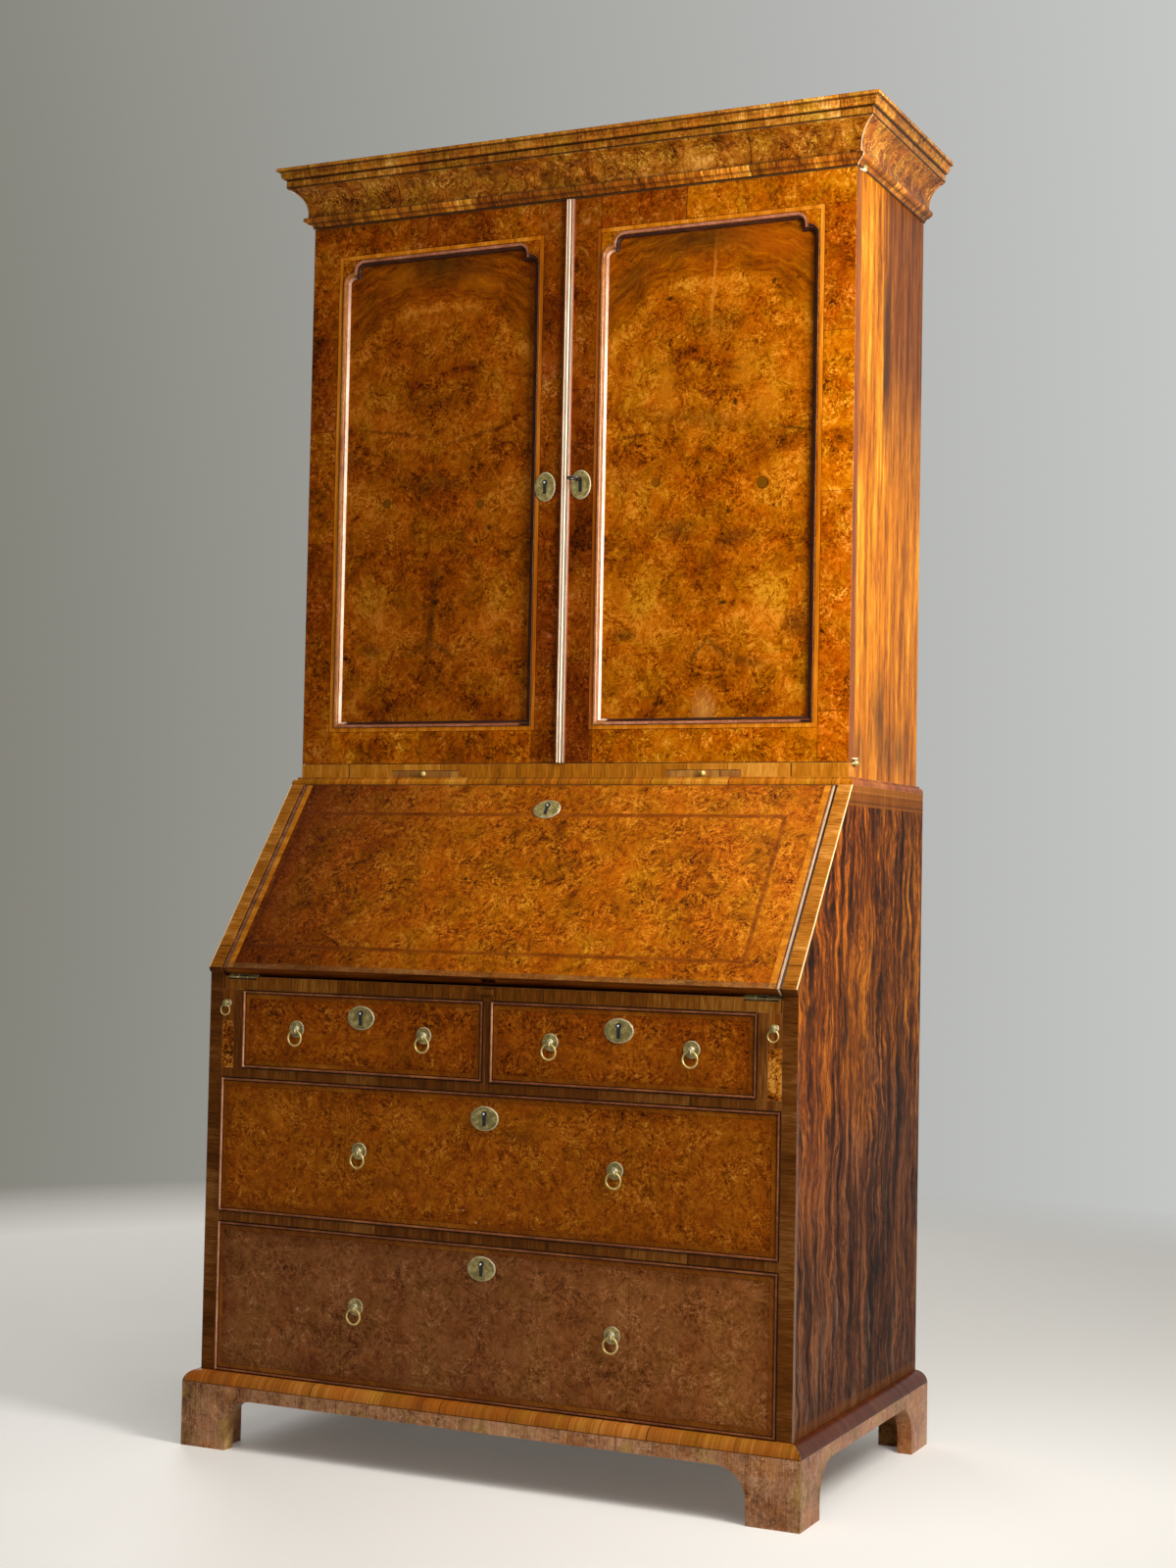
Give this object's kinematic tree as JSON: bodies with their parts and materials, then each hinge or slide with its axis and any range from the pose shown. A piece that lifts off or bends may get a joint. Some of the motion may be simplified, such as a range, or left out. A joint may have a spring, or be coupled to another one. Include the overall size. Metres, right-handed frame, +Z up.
{
  "type": "bureau bookcase",
  "caption": "Tall walnut bureau bookcase: panelled doors under a cornice, sloping fall that opens on pull-out lopers, drawers with ring pulls, bracket feet.",
  "frame": {"origin": "on the floor, under the middle of the bounding box", "axes": "+X to the right seen from the front, +Y to the back, +Z up; the front faces -Y"},
  "size_m": [1.076, 0.6, 2.11],
  "materials": {
    "walnut_burr": "polished burr walnut veneer",
    "walnut_cross": "polished cross-grain walnut",
    "walnut_plain": "polished straight-grain walnut",
    "oak_plain": "dry unpolished oak",
    "brass_old": "aged dull brass",
    "key_steel": "dark worn steel"
  },
  "bodies": {
    "cabinet": {"cornice_frieze": "walnut_burr", "cornice_crown": "walnut_cross", "slide_rail": "walnut_cross", "drawer_rails": "walnut_cross", "waist_moulding": "walnut_cross", "base_moulding": "walnut_cross", "plinth": "walnut_cross", "bureau_sides": "walnut_plain", "bookcase_sides": "walnut_plain", "writing_board": "walnut_plain", "inner_case": "walnut_plain", "bureau_bottom": "oak_plain", "bureau_top": "oak_plain", "bureau_back": "oak_plain", "drawer_guides": "oak_plain", "bookcase_boards": "oak_plain", "bookcase_back": "oak_plain", "bookcase_shelves": "oak_plain", "cornice_frame": "oak_plain", "fall_hinge_plates": "brass_old", "door_pins": "brass_old"},
    "door_left": {"door_left_frame": "walnut_burr", "door_left_panel": "walnut_burr", "door_left_brass": "brass_old"},
    "door_right": {"door_right_frame": "walnut_burr", "door_right_panel": "walnut_burr", "door_right_brass": "brass_old", "door_astragal": "walnut_cross"},
    "door_bolt": {"door_bolt": "brass_old"},
    "door_key": {"door_key": "key_steel"},
    "fall": {"fall_board": "walnut_burr", "fall_brass": "brass_old"},
    "drawer_small_left": {"drawer_small_left": "walnut_burr", "drawer_small_left_brass": "brass_old"},
    "drawer_small_right": {"drawer_small_right": "walnut_burr", "drawer_small_right_brass": "brass_old"},
    "drawer_long_top": {"drawer_long_top": "walnut_burr", "drawer_long_top_brass": "brass_old"},
    "drawer_long_bottom": {"drawer_long_bottom": "walnut_burr", "drawer_long_bottom_brass": "brass_old"},
    "loper_left": {"loper_left": "walnut_cross", "loper_brass_left": "brass_old"},
    "loper_right": {"loper_right": "walnut_cross", "loper_brass_right": "brass_old"},
    "candle_slide_left": {"candle_slide_left": "walnut_cross", "candle_knob_left": "brass_old"},
    "candle_slide_right": {"candle_slide_right": "walnut_cross", "candle_knob_right": "brass_old"},
    "inner_drawer_left": {"inner_drawer_left": "walnut_plain"},
    "inner_drawer_right": {"inner_drawer_right": "walnut_plain"},
    "ring_small_left_outer": {"ring_small_left_outer": "brass_old"},
    "ring_small_left_inner": {"ring_small_left_inner": "brass_old"},
    "ring_small_right_inner": {"ring_small_right_inner": "brass_old"},
    "ring_small_right_outer": {"ring_small_right_outer": "brass_old"},
    "ring_long_top_left": {"ring_long_top_left": "brass_old"},
    "ring_long_top_right": {"ring_long_top_right": "brass_old"},
    "ring_long_bottom_left": {"ring_long_bottom_left": "brass_old"},
    "ring_long_bottom_right": {"ring_long_bottom_right": "brass_old"},
    "ring_loper_left": {"ring_loper_left": "brass_old"},
    "ring_loper_right": {"ring_loper_right": "brass_old"}
  },
  "joints": [
    {"name": "door_left_hinge", "type": "hinge", "parent": "cabinet", "child": "door_left", "pos_m": [-0.4905, -0.01785, 1.553], "axis": [0, 0, -1], "range_deg": [0, 110]},
    {"name": "door_right_hinge", "type": "hinge", "parent": "cabinet", "child": "door_right", "pos_m": [0.4905, -0.01785, 1.553], "axis": [0, 0, 1], "range_deg": [0, 110]},
    {"name": "door_key_turn", "type": "hinge", "parent": "door_right", "child": "door_key", "pos_m": [0.0263, -0.042, 1.551], "axis": [0, 1, 0], "range_deg": [0, 90]},
    {"name": "door_bolt_slide", "type": "slide", "parent": "door_right", "child": "door_bolt", "axis": [-1, 0, 0], "range_m": [0, 0.0101]},
    {"name": "fall_hinge", "type": "hinge", "parent": "cabinet", "child": "fall", "pos_m": [0, -0.27372, 0.74129], "axis": [1, 0, 0], "range_deg": [0, 127.24]},
    {"name": "drawer_small_left_slide", "type": "slide", "parent": "cabinet", "child": "drawer_small_left", "axis": [0, -1, 0], "range_m": [0, 0.38]},
    {"name": "drawer_small_right_slide", "type": "slide", "parent": "cabinet", "child": "drawer_small_right", "axis": [0, -1, 0], "range_m": [0, 0.38]},
    {"name": "drawer_long_top_slide", "type": "slide", "parent": "cabinet", "child": "drawer_long_top", "axis": [0, -1, 0], "range_m": [0, 0.38]},
    {"name": "drawer_long_bottom_slide", "type": "slide", "parent": "cabinet", "child": "drawer_long_bottom", "axis": [0, -1, 0], "range_m": [0, 0.38]},
    {"name": "loper_left_slide", "type": "slide", "parent": "cabinet", "child": "loper_left", "axis": [0, -1, 0], "range_m": [0, 0.3]},
    {"name": "loper_right_slide", "type": "slide", "parent": "cabinet", "child": "loper_right", "axis": [0, -1, 0], "range_m": [0, 0.3]},
    {"name": "candle_slide_left_slide", "type": "slide", "parent": "cabinet", "child": "candle_slide_left", "axis": [0, -1, 0], "range_m": [0, 0.2]},
    {"name": "candle_slide_right_slide", "type": "slide", "parent": "cabinet", "child": "candle_slide_right", "axis": [0, -1, 0], "range_m": [0, 0.2]},
    {"name": "inner_drawer_left_slide", "type": "slide", "parent": "cabinet", "child": "inner_drawer_left", "axis": [0, -1, 0], "range_m": [0, 0.15]},
    {"name": "inner_drawer_right_slide", "type": "slide", "parent": "cabinet", "child": "inner_drawer_right", "axis": [0, -1, 0], "range_m": [0, 0.15]},
    {"name": "ring_small_left_outer_swing", "type": "hinge", "parent": "drawer_small_left", "child": "ring_small_left_outer", "pos_m": [-0.3365, -0.2856, 0.6614], "axis": [-1, 0, 0], "range_deg": [0, 80]},
    {"name": "ring_small_left_inner_swing", "type": "hinge", "parent": "drawer_small_left", "child": "ring_small_left_inner", "pos_m": [-0.108, -0.2856, 0.6614], "axis": [-1, 0, 0], "range_deg": [0, 80]},
    {"name": "ring_small_right_inner_swing", "type": "hinge", "parent": "drawer_small_right", "child": "ring_small_right_inner", "pos_m": [0.108, -0.2856, 0.6614], "axis": [-1, 0, 0], "range_deg": [0, 80]},
    {"name": "ring_small_right_outer_swing", "type": "hinge", "parent": "drawer_small_right", "child": "ring_small_right_outer", "pos_m": [0.3365, -0.2856, 0.6614], "axis": [-1, 0, 0], "range_deg": [0, 80]},
    {"name": "ring_long_top_left_swing", "type": "hinge", "parent": "drawer_long_top", "child": "ring_long_top_left", "pos_m": [-0.218, -0.2856, 0.4784], "axis": [-1, 0, 0], "range_deg": [0, 80]},
    {"name": "ring_long_top_right_swing", "type": "hinge", "parent": "drawer_long_top", "child": "ring_long_top_right", "pos_m": [0.218, -0.2856, 0.4784], "axis": [-1, 0, 0], "range_deg": [0, 80]},
    {"name": "ring_long_bottom_left_swing", "type": "hinge", "parent": "drawer_long_bottom", "child": "ring_long_bottom_left", "pos_m": [-0.218, -0.2856, 0.2389], "axis": [-1, 0, 0], "range_deg": [0, 80]},
    {"name": "ring_long_bottom_right_swing", "type": "hinge", "parent": "drawer_long_bottom", "child": "ring_long_bottom_right", "pos_m": [0.218, -0.2856, 0.2389], "axis": [-1, 0, 0], "range_deg": [0, 80]},
    {"name": "ring_loper_left_swing", "type": "hinge", "parent": "loper_left", "child": "ring_loper_left", "pos_m": [-0.4653, -0.2888, 0.6978], "axis": [-1, 0, 0], "range_deg": [0, 80]},
    {"name": "ring_loper_right_swing", "type": "hinge", "parent": "loper_right", "child": "ring_loper_right", "pos_m": [0.4653, -0.2888, 0.6978], "axis": [-1, 0, 0], "range_deg": [0, 80]}
  ],
  "couplings": [
    {"joint": "door_bolt_slide", "follows": "door_key_turn", "m_per_rad": 0.006366}
  ]
}
